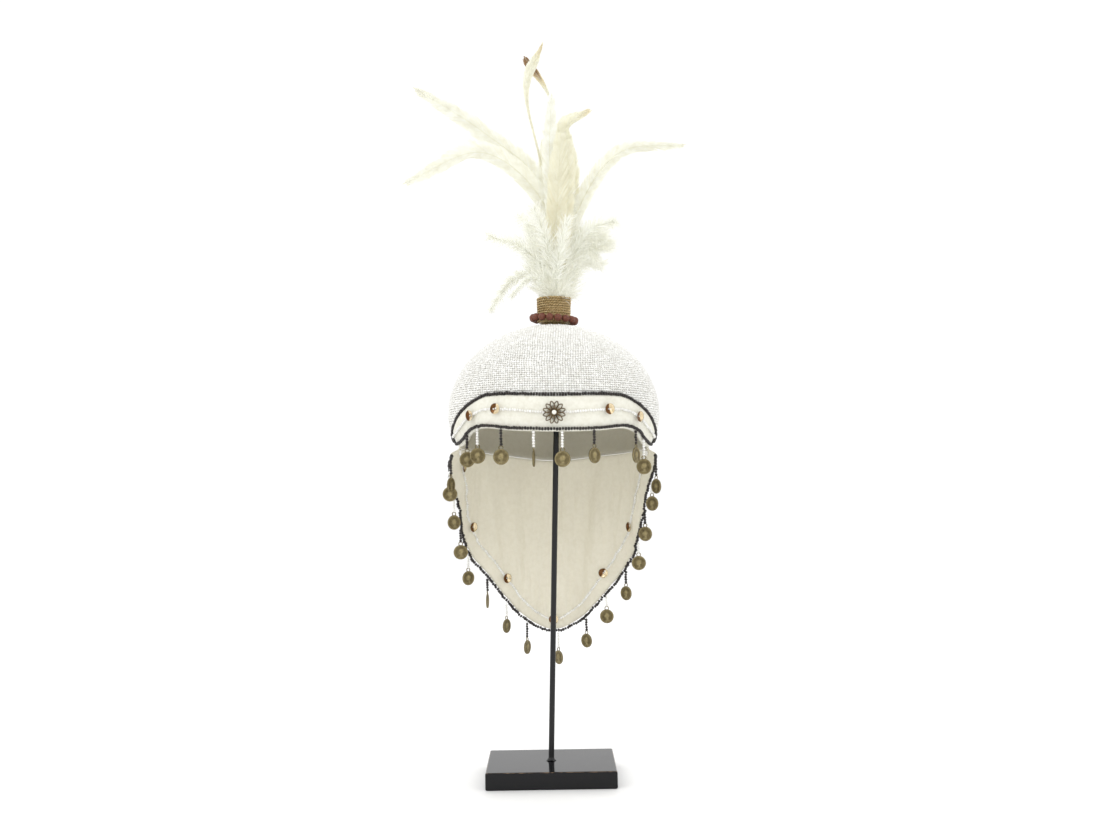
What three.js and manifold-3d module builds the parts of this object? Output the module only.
// A beaded cap with a cloth veil, coin drops and a feather plume, on a rod stand.
// Millimetres, +Z up, the wearer looks along -Y. The origin is the middle of the base's underside.

import * as THREE from 'three';
import { mergeVertices, mergeGeometries } from 'three/addons/utils/BufferGeometryUtils.js';
import Module from 'manifold-3d';

const wasm = await Module();
wasm.setup();

// ---- Driving dimensions ----

const gap = 0.35; // clearance between pieces that touch
const degree = Math.PI / 180;

const base = { width: 113, depth: 87, height: 15, bevel: 1.2 };
const rod = { radius: 2.5, lean: 1.8, footRadius: 4.4, footHeight: 3, top: 397.2, padRadius: 14, padHeight: 4, sides: 12 };

// The headdress sits on the rod a little out of plumb.
const headdress = { lean: 0.95, offset: 2 };

// The cap is an ellipsoid above its widest height and tucks in below it.
const cap = {
  halfWidth: 95, halfDepth: 101, widest: 322, rise: 81.5, tuck: 72,
  wall: 3, bandRecess: 1.75, columns: 48, crownRows: 7, sideRows: 2,
};
const band = { end: 73, thickness: 1.2, step: 7.5 };
const piping = { radius: 1.3, sides: 5 };
const beadLine = { radius: 0.9, sides: 5 };

const veil = {
  corner: 75, wall: 1.6, step: 5, rows: 8, inset: 1.5, narrowing: 0.115, hang: 150,
  flare: 7, flareReach: 10, foldDepth: 2.2, foldCount: 9, sway: 3.5, lineInset: 10,
};

// Heights round the cap, by the angle from the middle of the forehead, the same left and right.
const upperLine = [
  { angle: 0, height: 334 }, { angle: 36, height: 335 }, { angle: 48, height: 329 },
  { angle: 59, height: 320 }, { angle: 69, height: 310.5 }, { angle: 82, height: 301 },
  { angle: 100, height: 297 }, { angle: 140, height: 293 }, { angle: 180, height: 288 },
];
const capRim = [
  { angle: 0, height: 303.6 }, { angle: 22, height: 304.6 }, { angle: 40, height: 307 },
  { angle: 50, height: 303.5 }, { angle: 59, height: 296.5 }, { angle: 70, height: 293 },
  { angle: 105, height: 291 }, { angle: 140, height: 287 }, { angle: 180, height: 282 },
];
const veilEdge = [
  { angle: 75, height: 287 }, { angle: 87, height: 277 }, { angle: 93, height: 266 },
  { angle: 100, height: 246 }, { angle: 110, height: 216 }, { angle: 120, height: 194 },
  { angle: 130, height: 176 }, { angle: 142, height: 156 }, { angle: 155, height: 138 },
  { angle: 170, height: 124 }, { angle: 180, height: 121 },
];

const sequin = { radius: 4.5, thickness: 0.8, sides: 12 };
const bandSequins = [-47, -30, 28, 48]; // angles from the middle of the forehead
const veilSequins = [-98, -116, -142, 180, 139, 116, 97];
const flower = { radius: 9.5, petals: 12, thickness: 1.2, hubRadius: 3, slotInner: 4.2, slotOuter: 7.8, pearl: 1.9 };

// Coin drops: where each hangs (on the forehead's rim or the veil's hem), its bead string and its coin.
const drop = { beadRadius: 1.35, pitch: 2.3, sides: 4, ringRadius: 1.9, ringWire: 0.45, coinRadius: 6.6, coinThickness: 1.1 };
const dark = 'black-brown beads';
const white = 'white beads';
const drops = [
  { on: 'rim', angle: -53, beads: 5, string: dark, turn: 10 },
  { on: 'rim', angle: -43, beads: 6, string: white, turn: 12 },
  { on: 'rim', angle: -28, beads: 6, string: dark, turn: 5 },
  { on: 'rim', angle: -10.5, beads: 6, string: white, turn: 85 },
  { on: 'rim', angle: 4, beads: 6, string: white, turn: -5 },
  { on: 'rim', angle: 20.5, beads: 5, string: dark, turn: 44 },
  { on: 'rim', angle: 47, beads: 5, string: dark, turn: 60 },
  { on: 'rim', angle: 57, beads: 6, string: white, turn: -20 },
  { on: 'hem', angle: -80, beads: 5, string: dark, turn: 66 },
  { on: 'hem', angle: -87, beads: 5, string: white, turn: 8 },
  { on: 'hem', angle: -97, beads: 5, string: white, turn: 35 },
  { on: 'hem', angle: -106, beads: 5, string: dark, turn: 10 },
  { on: 'hem', angle: -117, beads: 5, string: white, turn: 41 },
  { on: 'hem', angle: -129.5, beads: 5, string: dark, turn: 85 },
  { on: 'hem', angle: -145, beads: 5, string: white, turn: 61 },
  { on: 'hem', angle: -161, beads: 6, string: dark, turn: 65 },
  { on: 'hem', angle: 176.5, beads: 6, string: white, turn: -55 },
  { on: 'hem', angle: 157, beads: 5, string: dark, turn: -44 },
  { on: 'hem', angle: 140, beads: 4, string: white, turn: -14 },
  { on: 'hem', angle: 125, beads: 5, string: dark, turn: -46 },
  { on: 'hem', angle: 111, beads: 4, string: white, turn: 0 },
  { on: 'hem', angle: 100.5, beads: 5, string: dark, turn: -27 },
  { on: 'hem', angle: 92, beads: 4, string: white, turn: -40 },
  { on: 'hem', angle: 81, beads: 5, string: dark, turn: -58 },
];

const collar = { radius: 15.5, bore: 11.5, bottom: 404.6, top: 428, sides: 24 };
const collarBeads = { count: 16, radius: 3.35, ringRadius: 19.2, height: 408.3, tilt: 4, sides: 6 };

// Feathers by their midrib, from the collar's mouth: a knee, a middle and a tip, with x to the
// right, y to the back and z up, and the vane's full width at its broadest.
const feathers = [
  { knee: [-13, -4, 104], mid: [-62, -18, 146], tip: [-127, -30, 185], width: 13 },
  { knee: [-8, -8, 82], mid: [-62, -34, 124], tip: [-133, -48, 92], width: 12 },
  { knee: [23, 6, 84], mid: [62, 22, 140], tip: [126, 36, 151], width: 13 },
  { knee: [-5, 10, 120], mid: [-3, 16, 186], tip: [-28, 22, 231], width: 5 },
  { knee: [-11, 2, 118], mid: [-25, 4, 194], tip: [-10, 8, 239], width: 6 },
  { knee: [-1, -12, 70], mid: [-4, -16, 130], tip: [-2, -20, 183], width: 12 },
  { knee: [6, -6, 90], mid: [9, -12, 150], tip: [33, -20, 168], width: 9 },
  { knee: [4, 8, 100], mid: [8, 14, 164], tip: [36, 20, 179], width: 8 },
  { knee: [2, 14, 60], mid: [6, 26, 110], tip: [2, 40, 158], width: 14 },
  { knee: [8, -14, 50], mid: [11, -20, 96], tip: [12, -22, 140], width: 15 },
  { knee: [-6, 18, 40], mid: [-22, 44, 74], tip: [-34, 70, 90], width: 18 },
  { knee: [12, 16, 36], mid: [32, 40, 62], tip: [46, 60, 62], width: 22 },
  { knee: [14, -6, 34], mid: [34, -14, 60], tip: [58, -22, 68], width: 24 },
  { knee: [-14, -10, 30], mid: [-34, -26, 46], tip: [-60, -40, 52], width: 16 },
  { knee: [-16, 2, 20], mid: [-34, 4, 18], tip: [-62, 6, -14], width: 12 },
  { knee: [-4, -16, 30], mid: [-8, -30, 50], tip: [-18, -40, 74], width: 20 },
  { knee: [12, 4, 22], mid: [28, 10, 34], tip: [44, 16, 32], width: 22 },
  { knee: [-10, -12, 12], mid: [-22, -22, 14], tip: [-38, -32, -4], width: 12 },
];
const vane = { thickness: 1.8, segments: 7, quill: 2.6 };
const plumeHead = { radius: 11, depth: 14, flare: 17, flareHeight: 6 };

// ---- Materials ----

function finish(color, roughness, metalness) {
  return new THREE.MeshStandardMaterial({ color, roughness, metalness });
}

const materials = {
  whiteBeads: finish(0xf1f0ea, 0.35, 0),
  bandCloth: finish(0xece8dc, 0.9, 0),
  veilCloth: finish(0xdcd6c3, 0.9, 0),
  darkBeads: finish(0x241d1b, 0.3, 0),
  sequins: finish(0x9a7a4a, 0.25, 0.8),
  brass: finish(0x8c7d46, 0.45, 0.9),
  goldCord: finish(0xb9975a, 0.5, 0.4),
  redBeads: finish(0x7d3a26, 0.7, 0),
  feathers: finish(0xf3efdf, 0.9, 0),
  blackPaint: finish(0x16161a, 0.35, 0),
  blackLacquer: finish(0x0e0e10, 0.12, 0),
};

// ---- Tools for closed meshes ----

// A smooth value from a table of angles and heights, flat at both ends.
function heightAt(table, angle) {
  const a = Math.min(Math.max(Math.abs(angle), table[0].angle), table[table.length - 1].angle);
  let i = 0;
  while (i < table.length - 2 && a > table[i + 1].angle) i += 1;
  const slope = (k) => {
    if (k <= 0 || k >= table.length - 1) return 0;
    return (table[k + 1].height - table[k - 1].height) / (table[k + 1].angle - table[k - 1].angle);
  };
  const span = table[i + 1].angle - table[i].angle;
  const t = (a - table[i].angle) / span;
  const t2 = t * t;
  const t3 = t2 * t;
  return (2 * t3 - 3 * t2 + 1) * table[i].height + (t3 - 2 * t2 + t) * span * slope(i)
    + (3 * t2 - 2 * t3) * table[i + 1].height + (t3 - t2) * span * slope(i + 1);
}

// Signed angle from the forehead, -180 to 180.
function wrapAngle(angle) {
  return ((angle + 540) % 360) - 180;
}

function geometryFrom(points, triangles) {
  const geometry = new THREE.BufferGeometry();
  geometry.setAttribute('position', new THREE.Float32BufferAttribute(points.flatMap((p) => [p.x, p.y, p.z]), 3));
  geometry.setIndex(triangles);
  return geometry;
}

// A wall between an outer and an inner grid of points. grid[row][column]; the columns may close.
function wallFromGrids(outer, inner, closes) {
  const rows = outer.length;
  const columns = outer[0].length;
  const points = [...outer.flat(), ...inner.flat()];
  const shift = rows * columns;
  const at = (row, column, side) => side * shift + row * columns + (column % columns);
  const triangles = [];
  const quad = (a, b, c, d) => triangles.push(a, b, c, a, c, d);
  const last = closes ? columns : columns - 1;
  for (let c = 0; c < last; c += 1) {
    for (let r = 0; r < rows - 1; r += 1) {
      quad(at(r, c, 0), at(r + 1, c, 0), at(r + 1, c + 1, 0), at(r, c + 1, 0));
      quad(at(r, c, 1), at(r, c + 1, 1), at(r + 1, c + 1, 1), at(r + 1, c, 1));
    }
    quad(at(0, c, 0), at(0, c + 1, 0), at(0, c + 1, 1), at(0, c, 1));
    quad(at(rows - 1, c, 0), at(rows - 1, c, 1), at(rows - 1, c + 1, 1), at(rows - 1, c + 1, 0));
  }
  if (!closes) {
    for (let r = 0; r < rows - 1; r += 1) {
      quad(at(r, 0, 0), at(r, 0, 1), at(r + 1, 0, 1), at(r + 1, 0, 0));
      quad(at(r, last, 0), at(r + 1, last, 0), at(r + 1, last, 1), at(r, last, 1));
    }
  }
  return weld(geometryFrom(points, triangles));
}

// Merges shared points and drops triangles that have shrunk to a line.
function weld(geometry) {
  const bare = geometry.clone();
  for (const name of Object.keys(bare.attributes)) {
    if (name !== 'position') bare.deleteAttribute(name);
  }
  const merged = mergeVertices(bare, 1e-4);
  const index = merged.getIndex().array;
  const kept = [];
  for (let i = 0; i < index.length; i += 3) {
    const [a, b, c] = [index[i], index[i + 1], index[i + 2]];
    if (a !== b && b !== c && c !== a) kept.push(a, b, c);
  }
  merged.setIndex(kept);
  return merged;
}

function toSolid(geometry) {
  const merged = weld(geometry);
  return new wasm.Manifold(new wasm.Mesh({
    numProp: 3,
    vertProperties: new Float32Array(merged.getAttribute('position').array),
    triVerts: new Uint32Array(merged.getIndex().array),
  }));
}

function fromSolid(solid) {
  const mesh = solid.getMesh();
  const geometry = new THREE.BufferGeometry();
  geometry.setAttribute('position', new THREE.BufferAttribute(new Float32Array(mesh.vertProperties), 3));
  geometry.setIndex(new THREE.BufferAttribute(new Uint32Array(mesh.triVerts), 1));
  return geometry;
}

function joined(geometries) {
  return fromSolid(geometries.map(toSolid).reduce((all, next) => all.add(next)));
}

// A tube with its own radius at each point of its route.
function tubeAlong(route, radiusAt, sides, closes) {
  const count = route.length;
  const points = [];
  const triangles = [];
  const up = new THREE.Vector3(0, 0, 1);
  for (let i = 0; i < count; i += 1) {
    const before = route[closes ? (i + count - 1) % count : Math.max(i - 1, 0)];
    const after = route[closes ? (i + 1) % count : Math.min(i + 1, count - 1)];
    const along = after.clone().sub(before).normalize();
    const side = new THREE.Vector3().crossVectors(along, up).normalize();
    const lift = new THREE.Vector3().crossVectors(side, along).normalize();
    for (let k = 0; k < sides; k += 1) {
      const turn = (2 * Math.PI * (k + 0.5)) / sides;
      points.push(route[i].clone()
        .addScaledVector(side, radiusAt(i) * Math.cos(turn))
        .addScaledVector(lift, radiusAt(i) * Math.sin(turn)));
    }
  }
  const at = (i, k) => (i % count) * sides + (k % sides);
  for (let i = 0; i < (closes ? count : count - 1); i += 1) {
    for (let k = 0; k < sides; k += 1) {
      triangles.push(at(i, k), at(i + 1, k), at(i + 1, k + 1), at(i, k), at(i + 1, k + 1), at(i, k + 1));
    }
  }
  if (!closes) {
    for (let k = 1; k < sides - 1; k += 1) {
      triangles.push(at(0, 0), at(0, k), at(0, k + 1));
      triangles.push(at(count - 1, 0), at(count - 1, k + 1), at(count - 1, k));
    }
  }
  return geometryFrom(points, triangles);
}

// A lathe profile turned about the Z axis.
function turned(profile, sides) {
  const geometry = new THREE.LatheGeometry(profile.map(([r, z]) => new THREE.Vector2(r, z)), sides);
  geometry.rotateX(Math.PI / 2);
  return weld(geometry);
}

const nodes = new THREE.Group();
const worn = new THREE.Group();
worn.rotation.y = headdress.lean * degree;
nodes.add(worn);

function addNode(parent, name, geometry, material) {
  const mesh = new THREE.Mesh(geometry, material.clone());
  mesh.name = name;
  parent.add(mesh);
  return mesh;
}

// ---- The cap ----

// A point of the cap at a height, moved in from its outer face by inset.
function capPoint(angle, height, inset) {
  const above = height > cap.widest;
  const sine = (height - cap.widest) / (above ? cap.rise : cap.tuck);
  const ring = Math.sqrt(Math.max(0, 1 - sine * sine));
  const a = angle * degree;
  return new THREE.Vector3(
    headdress.offset + (cap.halfWidth - inset) * ring * Math.sin(a),
    -(cap.halfDepth - inset) * ring * Math.cos(a),
    above ? cap.widest + (cap.rise - inset) * sine : height,
  );
}

// Straight out from the cap in plan.
function outward(angle) {
  return new THREE.Vector3(Math.sin(angle * degree), -Math.cos(angle * degree), 0);
}

function capHeights(angle) {
  const line = heightAt(upperLine, angle) + piping.radius + gap;
  const rim = heightAt(capRim, angle);
  const start = Math.asin(Math.min(1, (line - cap.widest) / cap.rise));
  const heights = [];
  for (let r = 0; r <= cap.crownRows; r += 1) {
    const latitude = Math.PI / 2 + (start - Math.PI / 2) * (r / cap.crownRows);
    heights.push(line > cap.widest
      ? cap.widest + cap.rise * Math.sin(latitude)
      : cap.widest + cap.rise - (cap.rise + cap.widest - line) * (1 - Math.cos((Math.PI / 2) * (r / cap.crownRows))));
  }
  heights[cap.crownRows] = line;
  for (let r = 0; r <= cap.sideRows; r += 1) {
    heights.push(line - 0.3 + (rim - line + 0.3) * (r / cap.sideRows));
  }
  return heights;
}

function beadedCap() {
  const outer = [];
  const inner = [];
  const rows = cap.crownRows + cap.sideRows + 2;
  for (let r = 0; r < rows; r += 1) {
    outer.push([]);
    inner.push([]);
    for (let c = 0; c < cap.columns; c += 1) {
      const angle = wrapAngle((360 * c) / cap.columns);
      const height = capHeights(angle)[r];
      const underBand = r > cap.crownRows && Math.abs(angle) <= veil.corner;
      outer[r].push(capPoint(angle, height, underBand ? cap.bandRecess : 0));
      inner[r].push(capPoint(angle, height, cap.wall));
    }
  }
  return wallFromGrids(outer, inner, true);
}

function bandAngles() {
  const angles = [-band.end];
  for (let a = -67.5; a <= 67.5; a += band.step) angles.push(a);
  angles.push(band.end);
  return angles;
}

function frontBand() {
  const face = cap.bandRecess - gap - band.thickness;
  const levels = [0, 0.5, 1];
  const gridAt = (inset) => levels.map((level) => bandAngles().map((angle) => {
    const top = heightAt(upperLine, angle) - piping.radius - gap;
    const bottom = heightAt(capRim, angle);
    return capPoint(angle, top + (bottom - top) * level, inset);
  }));
  return wallFromGrids(gridAt(face), gridAt(face + band.thickness), false);
}

// A bead line that lies on the cap, its middle at the given height.
function lineOnCap(angles, heightOf, surfaceInset, radius) {
  return angles.map((angle) => capPoint(angle, heightOf(angle), surfaceInset - gap - radius));
}

const bandFace = cap.bandRecess - gap - band.thickness;
const lowerLineAt = (angle) => heightAt(capRim, angle) + piping.radius + 0.9;
const middleLineAt = (angle) => (heightAt(upperLine, angle) + lowerLineAt(angle)) / 2;

function upperPiping() {
  const angles = Array.from({ length: cap.columns }, (_, c) => wrapAngle((360 * c) / cap.columns));
  const route = angles.map((angle) => {
    const inset = Math.abs(angle) <= veil.corner ? cap.bandRecess : 0;
    return capPoint(angle, heightAt(upperLine, angle), inset - gap - piping.radius);
  });
  return tubeAlong(route, () => piping.radius, piping.sides, true);
}

// ---- The veil ----

// The hem's distance from a point straight above it, square to the hem.
function hemDistance(angle, drop) {
  const slope = (heightAt(veilEdge, Math.abs(angle) + 1) - heightAt(veilEdge, Math.abs(angle) - 1)) / (2 * 1.45);
  return drop / Math.sqrt(1 + slope * slope);
}

// A point of the veil's middle surface; share runs from 0 at the seam to 1 at the hem.
function veilPoint(angle, share, inset) {
  const top = heightAt(capRim, angle) - gap;
  const hem = heightAt(veilEdge, angle);
  const height = top + (hem - top) * share;
  const start = capPoint(angle, top, veil.inset);
  const fall = Math.min(1, (top - height) / veil.hang);
  const eased = fall * fall * (3 - 2 * fall);
  const smooth = share * share * (3 - 2 * share);
  const flare = veil.flare * smooth * Math.exp(-hemDistance(angle, height - hem) / veil.flareReach);
  const fold = veil.foldDepth * Math.min(1, fall * 2.5)
    * (Math.cos(veil.foldCount * angle * degree) + 0.5 * Math.cos((2 * veil.foldCount - 5) * angle * degree + 1));
  const sway = -veil.sway * Math.sin(Math.PI * Math.min(1, fall * 1.3)) * Math.abs(Math.sin(angle * degree));
  const centre = new THREE.Vector3(headdress.offset, 0, 0);
  const arm = start.clone().sub(centre).setZ(0).multiplyScalar(1 - veil.narrowing * eased);
  const point = centre.add(arm).addScaledVector(outward(angle), flare + fold - inset);
  return new THREE.Vector3(point.x + sway, point.y, height);
}

function veilAngles() {
  const angles = [];
  for (let a = veil.corner; a <= 360 - veil.corner + 0.01; a += veil.step) angles.push(a);
  return angles;
}

function veilCloth() {
  const gridAt = (inset) => Array.from({ length: veil.rows + 1 }, (_, r) => veilAngles()
    .map((angle) => veilPoint(wrapAngle(angle), r / veil.rows, inset)));
  return wallFromGrids(gridAt(-veil.wall / 2), gridAt(veil.wall / 2), false);
}

// A point straight under the hem, at a clear distance square to its slope.
function underHem(angle, clear) {
  return veilPoint(angle, 1, 0).add(new THREE.Vector3(0, 0, -clear / hemDistance(angle, 1)));
}

// Where the bead line crosses a column of the veil.
function lineShare(angle) {
  const top = heightAt(capRim, angle) - gap;
  const fall = top - heightAt(veilEdge, angle);
  const perMillimetre = hemDistance(angle, 1);
  return Math.max(0.3, 1 - veil.lineInset / perMillimetre / fall);
}

const veilLineStandOff = veil.wall / 2 + gap + beadLine.radius + 0.5;

function veilLinePoint(angle, standOff) {
  return veilPoint(angle, lineShare(angle), standOff);
}

function veilBeadLine() {
  const route = veilAngles().slice(2, -2).map((angle) => veilLinePoint(wrapAngle(angle), veilLineStandOff));
  return tubeAlong(route, () => beadLine.radius, beadLine.sides, false);
}

// ---- Ornaments ----

// A disc in the XZ plane, facing -Y, with a raised rim of the given width on its face.
function disc(radius, thickness, rimWidth, sides) {
  const half = thickness / 2;
  const rim = rimWidth > 0 ? [[radius - rimWidth, -half * 0.6]] : [];
  const profile = [[0, -half * (rimWidth > 0 ? 0.6 : 1)], ...rim, [radius, -half], [radius, half], [0, half]];
  return weld(new THREE.LatheGeometry(profile.map(([r, y]) => new THREE.Vector2(r, y)), sides));
}

function addSequin(name, place, facing) {
  const geometry = disc(sequin.radius, sequin.thickness, 0, sequin.sides);
  const mesh = addNode(worn, name, geometry, materials.sequins);
  mesh.position.copy(place);
  mesh.quaternion.setFromUnitVectors(new THREE.Vector3(0, -1, 0), facing.clone().normalize());
  return mesh;
}

function addBandSequins() {
  bandSequins.forEach((angle, i) => {
    const lift = gap + 2 * beadLine.radius + gap + sequin.thickness;
    addSequin(`band_sequin_${i + 1}`, capPoint(angle, middleLineAt(angle), bandFace - lift), outward(angle));
  });
}

function addVeilSequins() {
  veilSequins.forEach((angle, i) => {
    const lift = veilLineStandOff + beadLine.radius + gap + sequin.thickness;
    const reach = 2;
    const ahead = veilLinePoint(wrapAngle(angle + reach), lift);
    const behind = veilLinePoint(wrapAngle(angle - reach), lift);
    const share = lineShare(angle);
    const over = veilPoint(angle, share - 0.05, lift);
    const under = veilPoint(angle, share + 0.05, lift);
    const inwards = new THREE.Vector3().crossVectors(under.sub(over), ahead.sub(behind));
    if (inwards.dot(outward(angle)) > 0) inwards.negate();
    addSequin(`veil_sequin_${i + 1}`, veilLinePoint(angle, lift), inwards);
  });
}

function openworkFlower() {
  const outline = new THREE.Shape();
  const steps = flower.petals * 4;
  for (let i = 0; i < steps; i += 1) {
    const turn = (2 * Math.PI * (i + 0.5)) / steps;
    const inPetal = (i % 4) / 4 + 0.125;
    const reach = flower.radius * (0.8 + 0.2 * Math.sin(Math.PI * inPetal));
    const point = [reach * Math.sin(turn), reach * Math.cos(turn)];
    if (i === 0) outline.moveTo(...point);
    else outline.lineTo(...point);
  }
  outline.closePath();
  for (let p = 0; p < flower.petals; p += 1) {
    const turn = (2 * Math.PI * (p + 0.5)) / flower.petals;
    const across = [Math.cos(turn), -Math.sin(turn)];
    const along = [Math.sin(turn), Math.cos(turn)];
    const middle = (flower.slotInner + flower.slotOuter) / 2;
    const corners = [[flower.slotInner, 0.3], [middle, 0.95], [flower.slotOuter, 0.3],
      [flower.slotOuter, -0.3], [middle, -0.95], [flower.slotInner, -0.3]];
    const slot = new THREE.Path();
    corners.forEach(([far, side], k) => {
      const point = [along[0] * far + across[0] * side, along[1] * far + across[1] * side];
      if (k === 0) slot.moveTo(...point);
      else slot.lineTo(...point);
    });
    slot.closePath();
    outline.holes.push(slot);
  }
  const plate = new THREE.ExtrudeGeometry(outline, { depth: flower.thickness, bevelEnabled: false });
  plate.rotateX(Math.PI / 2);
  const hub = new THREE.CylinderGeometry(flower.hubRadius, flower.hubRadius, flower.thickness + 0.8, 12);
  hub.translate(0, -flower.thickness / 2 - 0.2, 0);
  const pearl = new THREE.SphereGeometry(flower.pearl, 10, 6);
  pearl.translate(0, -flower.thickness - 1.1, 0);
  return joined([plate, hub, pearl]);
}

function addFlower() {
  const height = middleLineAt(0);
  const lift = gap + 2 * beadLine.radius + gap + 0.7;
  const mesh = addNode(worn, 'flower', openworkFlower(), materials.brass);
  mesh.position.copy(capPoint(0, height, bandFace - lift));
}

// ---- Coin drops ----

// A string of beads, a jump ring and a coin that hang down from the origin.
function dropGeometry(beads) {
  const route = [];
  const radii = [];
  for (let b = 0; b < beads; b += 1) {
    route.push(new THREE.Vector3(0, 0, -(b + 0.08) * drop.pitch), new THREE.Vector3(0, 0, -(b + 0.5) * drop.pitch));
    radii.push(drop.beadRadius * 0.55, drop.beadRadius);
  }
  route.push(new THREE.Vector3(0, 0, -beads * drop.pitch));
  radii.push(drop.beadRadius * 0.55);
  const string = turned(
    [[0, route[0].z], ...route.map((p, i) => [radii[i], p.z]), [0, route[route.length - 1].z]].reverse(),
    drop.sides,
  );
  const ring = new THREE.TorusGeometry(drop.ringRadius, drop.ringWire, 3, 6);
  ring.rotateY(Math.PI / 2);
  const ringMiddle = -beads * drop.pitch - drop.ringRadius + 0.2;
  ring.translate(0, 0, ringMiddle);
  const coin = disc(drop.coinRadius, drop.coinThickness, 1, 12);
  coin.translate(0, 0, ringMiddle - drop.ringRadius - drop.coinRadius + 1.1);
  return joined([string, ring, coin]);
}

function addDrops() {
  drops.forEach((row, i) => {
    const place = row.on === 'rim'
      ? capPoint(row.angle, lowerLineAt(row.angle) - piping.radius - gap, bandFace - gap - piping.radius - 0.25)
      : underHem(row.angle, 2 * piping.radius + 4 * gap);
    const name = `coin_drop_${String(i + 1).padStart(2, '0')}`;
    const mesh = addNode(worn, name, dropGeometry(row.beads), materials.brass);
    mesh.userData.string = row.string;
    mesh.position.copy(place);
    mesh.rotation.set(0, -headdress.lean * degree, row.turn * degree);
  });
}

// ---- Collar and plume ----

function woundCollar() {
  const bulge = 0.5;
  const middle = (collar.bottom + collar.top) / 2;
  const geometry = turned([
    [collar.bore, collar.top], [collar.bore, collar.bottom], [collar.radius - bulge, collar.bottom],
    [collar.radius, middle], [collar.radius + bulge, collar.top], [collar.bore, collar.top],
  ], collar.sides);
  geometry.translate(headdress.offset, 0, 0);
  return geometry;
}

function collarBeadRing() {
  const rowsPerBead = 3;
  const steps = collarBeads.count * rowsPerBead;
  const share = [0.45, 0.97, 0.97];
  const route = Array.from({ length: steps }, (_, i) => {
    const turn = (2 * Math.PI * i) / steps;
    const across = collarBeads.ringRadius * Math.cos(turn);
    return new THREE.Vector3(
      headdress.offset + across,
      collarBeads.ringRadius * Math.sin(turn),
      collarBeads.height - across * Math.tan(collarBeads.tilt * degree),
    );
  });
  return tubeAlong(route, (i) => collarBeads.radius * share[i % rowsPerBead], collarBeads.sides, true);
}

// A leaf-shaped blade with a diamond section, broad across the view and thin through it.
function featherBlade(row) {
  const points = [[0, 0, -4], row.knee, row.mid, row.tip].map((p) => new THREE.Vector3(...p));
  const midrib = new THREE.CatmullRomCurve3(points, false, 'centripetal');
  const vertices = [];
  const triangles = [];
  for (let i = 0; i <= vane.segments; i += 1) {
    const t = i / vane.segments;
    const place = midrib.getPoint(t);
    const along = midrib.getTangent(t);
    const through = new THREE.Vector3(0, 1, 0).addScaledVector(along, -along.y).normalize();
    const across = new THREE.Vector3().crossVectors(along, through).normalize();
    const leaf = Math.sin(Math.PI * Math.min(1, 0.12 + 0.88 * t ** 0.8)) ** 0.7;
    const half = Math.max(vane.quill / 2, (row.width / 2) * leaf) * (i === vane.segments ? 0.35 : 1);
    const thick = (vane.thickness / 2) * (1 - 0.5 * t);
    vertices.push(place.clone().addScaledVector(across, half), place.clone().addScaledVector(through, thick));
    vertices.push(place.clone().addScaledVector(across, -half), place.clone().addScaledVector(through, -thick));
  }
  for (let i = 0; i < vane.segments; i += 1) {
    for (let k = 0; k < 4; k += 1) {
      const a = i * 4 + k;
      const b = i * 4 + ((k + 1) % 4);
      triangles.push(a, b + 4, b, a, a + 4, b + 4);
    }
  }
  const end = vane.segments * 4;
  triangles.push(0, 2, 3, 0, 1, 2, end, end + 2, end + 1, end, end + 3, end + 2);
  return geometryFrom(vertices, triangles);
}

function plume() {
  const head = turned([
    [0, plumeHead.flareHeight + 4], [plumeHead.radius, plumeHead.flareHeight + 3],
    [plumeHead.flare, plumeHead.flareHeight], [plumeHead.flare, gap * 2],
    [plumeHead.radius, gap * 2], [plumeHead.radius, -plumeHead.depth], [0, -plumeHead.depth],
  ].reverse(), 12);
  const geometry = joined([head, ...feathers.map(featherBlade)]);
  geometry.translate(headdress.offset, 0, collar.top);
  return geometry;
}

// ---- The stand ----

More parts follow.
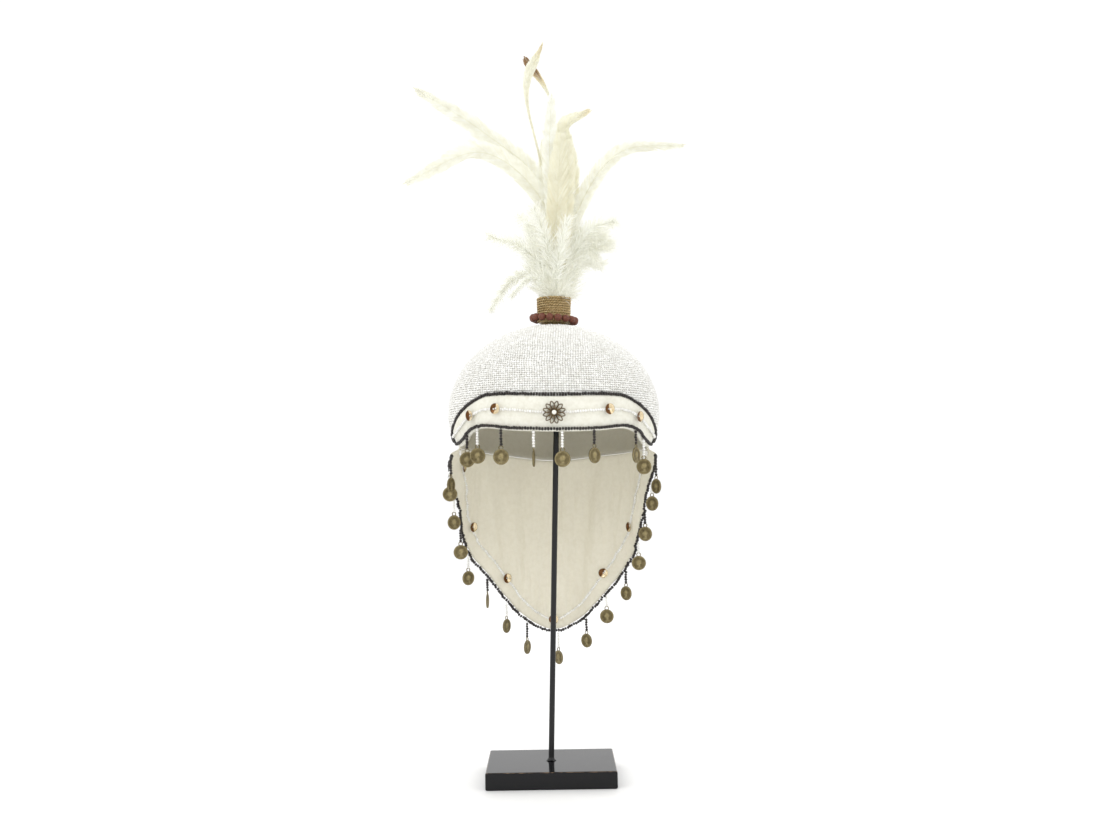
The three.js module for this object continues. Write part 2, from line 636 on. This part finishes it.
function standRod() {
  const top = rod.top - base.height;
  const geometry = turned([
    [0, top], [rod.padRadius - 1.5, top], [rod.padRadius, top - 1.5],
    [rod.padRadius, top - rod.padHeight], [rod.radius, top - rod.padHeight - 3],
    [rod.radius, rod.footHeight], [rod.footRadius * 0.75, rod.footHeight * 0.35], [rod.footRadius, 0], [0, 0],
  ].reverse(), rod.sides);
  return geometry;
}

function standBase() {
  const outline = new THREE.Shape();
  const x = base.width / 2 - base.bevel;
  const y = base.depth / 2 - base.bevel;
  outline.moveTo(-x, -y);
  outline.lineTo(x, -y);
  outline.lineTo(x, y);
  outline.lineTo(-x, y);
  outline.closePath();
  const geometry = new THREE.ExtrudeGeometry(outline, {
    depth: base.height - 2 * base.bevel, bevelThickness: base.bevel, bevelSize: base.bevel, bevelSegments: 1,
  });
  geometry.translate(0, 0, base.bevel);
  return geometry;
}

// ---- Assembly ----

addNode(nodes, 'stand_base', standBase(), materials.blackLacquer);
const rodMesh = addNode(nodes, 'stand_rod', standRod(), materials.blackPaint);
rodMesh.position.z = base.height + 0.5;
rodMesh.rotation.y = rod.lean * degree;

addNode(worn, 'beaded_cap', beadedCap(), materials.whiteBeads);
addNode(worn, 'front_band', frontBand(), materials.bandCloth);
addNode(worn, 'veil', veilCloth(), materials.veilCloth);
addNode(worn, 'upper_piping', upperPiping(), materials.darkBeads);
addNode(worn, 'lower_piping', tubeAlong(
  lineOnCap(bandAngles(), lowerLineAt, bandFace, piping.radius),
  () => piping.radius, piping.sides, false,
), materials.darkBeads);
addNode(worn, 'band_bead_line', tubeAlong(
  lineOnCap(bandAngles(), middleLineAt, bandFace, beadLine.radius),
  () => beadLine.radius, beadLine.sides, false,
), materials.whiteBeads);
addNode(worn, 'hem_piping', tubeAlong(
  veilAngles().map((angle) => underHem(wrapAngle(angle), piping.radius + 2 * gap)),
  () => piping.radius, piping.sides, false,
), materials.darkBeads);
addNode(worn, 'veil_bead_line', veilBeadLine(), materials.whiteBeads);
addBandSequins();
addVeilSequins();
addFlower();
addDrops();
addNode(worn, 'collar', woundCollar(), materials.goldCord);
addNode(worn, 'collar_bead_ring', collarBeadRing(), materials.redBeads);
addNode(worn, 'plume', plume(), materials.feathers);

export default nodes;
